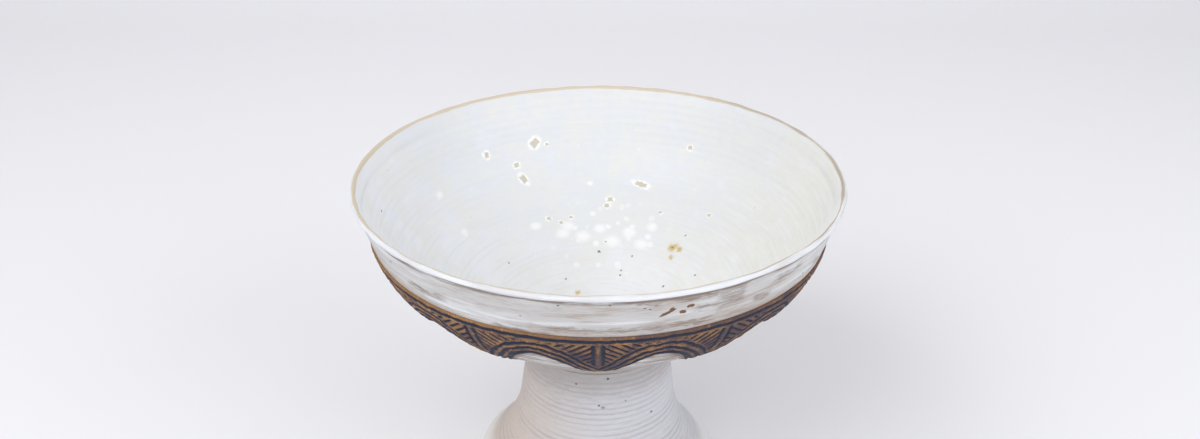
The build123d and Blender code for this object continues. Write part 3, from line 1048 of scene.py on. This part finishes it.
class VASE_OT_belt(bpy.types.Operator):
    """Lay the clay belt on the shoulder and carve it"""

    bl_idname = "vase.belt"
    bl_label = "Carved belt"

    columns_a_lappet = 64
    level_rows, cut_rows, back_rows = 44, 56, 9
    azimuths_looked_at = 1201

    def execute(self, context):
        scene, profile, arches = drawing(context)
        sizes = scene.vase_belt
        azimuths = self.column_azimuths(arches)
        level = LEVEL_SHARE * sizes.belt_width
        end = self.clay_depth(arches, azimuths, level, by_knife=True)
        share_down = np.linspace(0, 1, self.cut_rows + 1)[1:, None]
        upper = np.linspace(0, level, self.level_rows)[:, None] + 0 * end
        down = np.concatenate([upper, level + share_down * (end - level)])
        back = np.linspace(1, 0, self.back_rows)[:, None] * end
        azimuth = np.broadcast_to(azimuths, down.shape)
        place, normal = placed(arches.wall, down)
        away = arches.distance(azimuth, place) + knife_wander(azimuth, down)
        groove = self.carving(azimuth, down, away, place, sizes, arches)
        border = np.minimum(down, np.maximum(away, 0))
        rounded = np.sqrt(np.clip(1 - (1 - np.clip(border / BELT_ROUND, 0, 1)) ** 2, 0, 1))
        rough = unevenness(21, azimuth, down, 160, 9 * MM, 60)
        taper = 1 - 0.5 * smooth(down, 0.6 * sizes.depth, sizes.depth)
        push = sizes.thickness * taper * (0.25 + 0.75 * rounded)
        push = push - sizes.groove_depth * taper * groove * rounded
        push = push - 0.15 * MM * (1 + rough) * rounded
        front = thrown(place, normal, push, azimuth)
        back_place, back_normal = placed(arches.wall, back)
        sunk = np.full(back.shape, -BELT_SUNK)
        rear = thrown(back_place, back_normal, sunk, np.broadcast_to(azimuths, back.shape))
        piece = closed_mesh(
            "carved_belt",
            np.concatenate([front, rear]),
            True,
            groove=np.concatenate([groove, np.zeros(back.shape)]),
            down=np.concatenate([down, back]),
        )
        wear(piece, ["carved_band"], [carved_slip(scene.vase_colours)])
        return {"FINISHED"}

    def clay_depth(self, arches, azimuths, start, by_knife):
        """How far down the wall the clay reaches at each azimuth: to the arch's edge, as drawn or
        as the knife has cut it, looked for from this start, or to the tip."""
        down = np.arange(start, arches.belt.depth, EDGE_STEP)[:, None]
        place, _ = placed(arches.wall, down)
        away = arches.distance(azimuths, place + 0 * azimuths[:, None])
        if by_knife:
            away = away + knife_wander(azimuths, down)
        cut = away < 0
        return np.where(cut.any(axis=0), down[cut.argmax(axis=0), 0], arches.belt.depth)

    def column_azimuths(self, arches):
        """Columns spaced evenly along the arch's edge and not round the axis, so that they crowd
        where the edge falls steeply."""
        fine = np.linspace(0, 2 * arches.half_step, self.azimuths_looked_at)
        depth = self.clay_depth(arches, fine, arches.belt.belt_width, by_knife=False)
        steps = np.hypot(np.diff(fine) * arches.middle[0], 0.6 * np.diff(depth))
        run = np.concatenate([[0], np.cumsum(steps)])
        chosen = np.arange(self.columns_a_lappet) * run[-1] / self.columns_a_lappet
        one = np.interp(chosen, run, fine)
        repeats = np.arange(arches.belt.lappets)[:, None] * 2 * arches.half_step
        return (repeats + one).ravel()

    def carving(self, azimuth, down, away, place, sizes, arches):
        """Depth of the carving, 0 on a ridge and 1 in a line: one line under the top edge, three
        that follow the arches, and slanting veins about a midrib in each lappet."""
        width = sizes.groove_width
        away = away + 0.5 * MM * unevenness(6, azimuth, down, 240, 9 * MM, 60)
        wander = 0.4 * MM * unevenness(7, azimuth, down, 120, 60 * MM)
        cut = line(down - 3.2 * MM + wander, 0.95 * width)
        for distance, thickness in ARCH_LINES:
            cut = np.maximum(cut, line(away - distance * MM, thickness * width))
        offset = ((azimuth + arches.half_step) % (2 * arches.half_step)) - arches.half_step
        across = np.abs(place[..., 0] * np.sin(offset))
        field = smooth(away, 15.5 * MM, 17.5 * MM) * smooth(down, 6 * MM, 8 * MM)
        veins = spiral(0, down - 0.8 * across, VEIN_PITCH) ** 5
        rib = line(across - 3.4 * MM, 0.8 * width)
        inner = np.maximum(veins * smooth(across, 3 * MM, 4.2 * MM), rib)
        pressure = np.clip(0.88 + 0.3 * unevenness(8, azimuth, down, 150, 14 * MM, 60), 0.3, 1)
        return np.maximum(cut, field * inner) * pressure


class VASE_OT_coil(bpy.types.Operator):
    """Wipe the luting coil into the angle inside the foot"""

    bl_idname = "vase.coil"
    bl_label = "Luting coil"

    columns = 240

    def execute(self, context):
        scene = context.scene
        low, high = COIL_BOX
        outer, bottom, top = high.x, low.z + JUNCTION_LIFT, high.z + JUNCTION_LIFT
        inner = outer - COIL_WIDTH
        corners = [(outer, top), (outer, bottom), (inner, bottom + COIL_RISE), (outer - COIL_TOP_WIDTH, top)]
        high_edge, low_edge, inner_edge, top_edge = np.array(corners)
        wiped = bend(low_edge, np.array(COIL_WIPE), inner_edge)
        section = joined(straight(high_edge, low_edge), wiped, straight(inner_edge, top_edge))
        distances = rows_of((0, travelled(section)[-1], 0.8 * MM))
        azimuth, distance = ring_grid(distances, self.columns)
        place, normal = placed(section, distance)
        push = -0.4 * MM * (1 + unevenness(31, azimuth, distance, 28, 12 * MM))
        grid = thrown(place, normal, push, azimuth)
        piece = closed_mesh("wiped_coil", grid, True)
        wear(piece, ["luting_coil"], [coil_clay(scene.vase_colours)])
        return {"FINISHED"}


class VASE_OT_stage(bpy.types.Operator):
    """Set the floor, the lamps and the camera"""

    bl_idname = "vase.stage"
    bl_label = "Stage"

    def execute(self, context):
        scene = context.scene
        self.cove()
        for name, (at, size, power) in LAMPS.items():
            self.lamp(name, at, size, power)
        self.surroundings(scene)
        scene.camera = self.camera(scene.vase_view)
        scene.view_settings.view_transform = "Standard"
        return {"FINISHED"}

    def surroundings(self, scene):
        """Even light from all round."""
        scene.world = bpy.data.worlds.new("studio")
        scene.world.use_nodes = True
        background = scene.world.node_tree.nodes["Background"]
        background.inputs["Color"].default_value = (0.985, 0.985, 1.0, 1)
        background.inputs["Strength"].default_value = 0.6

    def cove(self):
        """Floor that curves up into a backdrop: a path of two straight runs and a quarter circle,
        drawn out sideways."""
        corner = np.array([COVE_BACK, 0.0])
        turn = bend(corner - (COVE_BEND, 0), np.array([1.0, 0.0]), corner + (0, COVE_BEND))
        path = np.concatenate([[(COVE_FRONT, 0.0)], turn[::COVE_POINTS_SKIPPED], [(COVE_BACK, COVE_TALL)]])
        across = np.linspace(-COVE_HALF_WIDE, COVE_HALF_WIDE, COVE_COLUMNS)
        away, high = (np.repeat(part[:, None], COVE_COLUMNS, axis=1) for part in path.T)
        grid = np.stack([np.broadcast_to(across, away.shape), away, high], axis=-1)
        index = np.arange(away.size).reshape(away.shape)
        faces = np.stack([index[:-1, :-1], index[:-1, 1:], index[1:, 1:], index[1:, :-1]], axis=-1)
        mesh = bpy.data.meshes.new("cove")
        mesh.from_pydata(grid.reshape(-1, 3), [], faces.reshape(-1, 4).tolist())
        mesh.shade_smooth()
        cove = put("cove", mesh)
        paper = Finish("backdrop_paper", Specular_IOR_Level=0.0)
        paper.base = paint(247, 247, 250)
        mesh.materials.append(paper.finish(1.0))

    def lamp(self, name, at, size, power):
        """A square soft lamp aimed at the bowl."""
        data = bpy.data.lights.new(name, "AREA")
        data.size, data.energy, data.spread = size, power, LAMP_SPREAD
        turned = (LAMP_AIM - Vector(at)).to_track_quat("-Z", "Y").to_matrix().to_4x4()
        put(name, data).matrix_world = Matrix.Translation(at) @ turned

    def camera(self, view):
        """The camera where the photograph was taken from, level and looking down by the pitch."""
        data = bpy.data.cameras.new("photo_camera")
        data.sensor_width, data.lens = FILM_WIDTH, view.lens
        camera = put("photo_camera", data)
        camera.location = (view.aside, -view.distance, view.height)
        camera.rotation_euler = (pi / 2 - view.pitch, 0, 0)
        return camera


class VASE_PT_panel(bpy.types.Panel):
    """Sizes and colours of the vase, and a button for each of its pieces"""

    bl_idname = "VASE_PT_panel"
    bl_label = "Footed Bowl Vase"
    bl_space_type = "VIEW_3D"
    bl_region_type = "UI"
    bl_category = "Pottery"

    def draw(self, context):
        for operator in OPERATORS:
            self.layout.operator(operator.bl_idname)
        for name, group in GROUPS.items():
            box = self.layout.box()
            for setting in group.__annotations__:
                box.prop(getattr(context.scene, name), setting)


GROUPS = {
    "vase_bowl": BowlSizes,
    "vase_pedestal": PedestalSizes,
    "vase_belt": BeltSizes,
    "vase_colours": ClayColours,
    "vase_view": ViewPlace,
}
OPERATORS = [VASE_OT_bowl, VASE_OT_pedestal, VASE_OT_belt, VASE_OT_coil, VASE_OT_stage]


def register():
    """Adds the settings, the operators and the panel."""
    for name, group in GROUPS.items():
        bpy.utils.register_class(group)
        setattr(bpy.types.Scene, name, PointerProperty(type=group))
    for part in (*OPERATORS, VASE_PT_panel):
        bpy.utils.register_class(part)


def unregister():
    """Takes them away again, last first."""
    for part in (VASE_PT_panel, *reversed(OPERATORS)):
        bpy.utils.unregister_class(part)
    for name, group in reversed(GROUPS.items()):
        delattr(bpy.types.Scene, name)
        bpy.utils.unregister_class(group)


def main():
    """Makes the vase and its stage."""
    register()
    bpy.ops.vase.bowl()
    bpy.ops.vase.pedestal()
    bpy.ops.vase.belt()
    bpy.ops.vase.coil()
    bpy.ops.vase.stage()


if __name__ == "__main__":
    main()
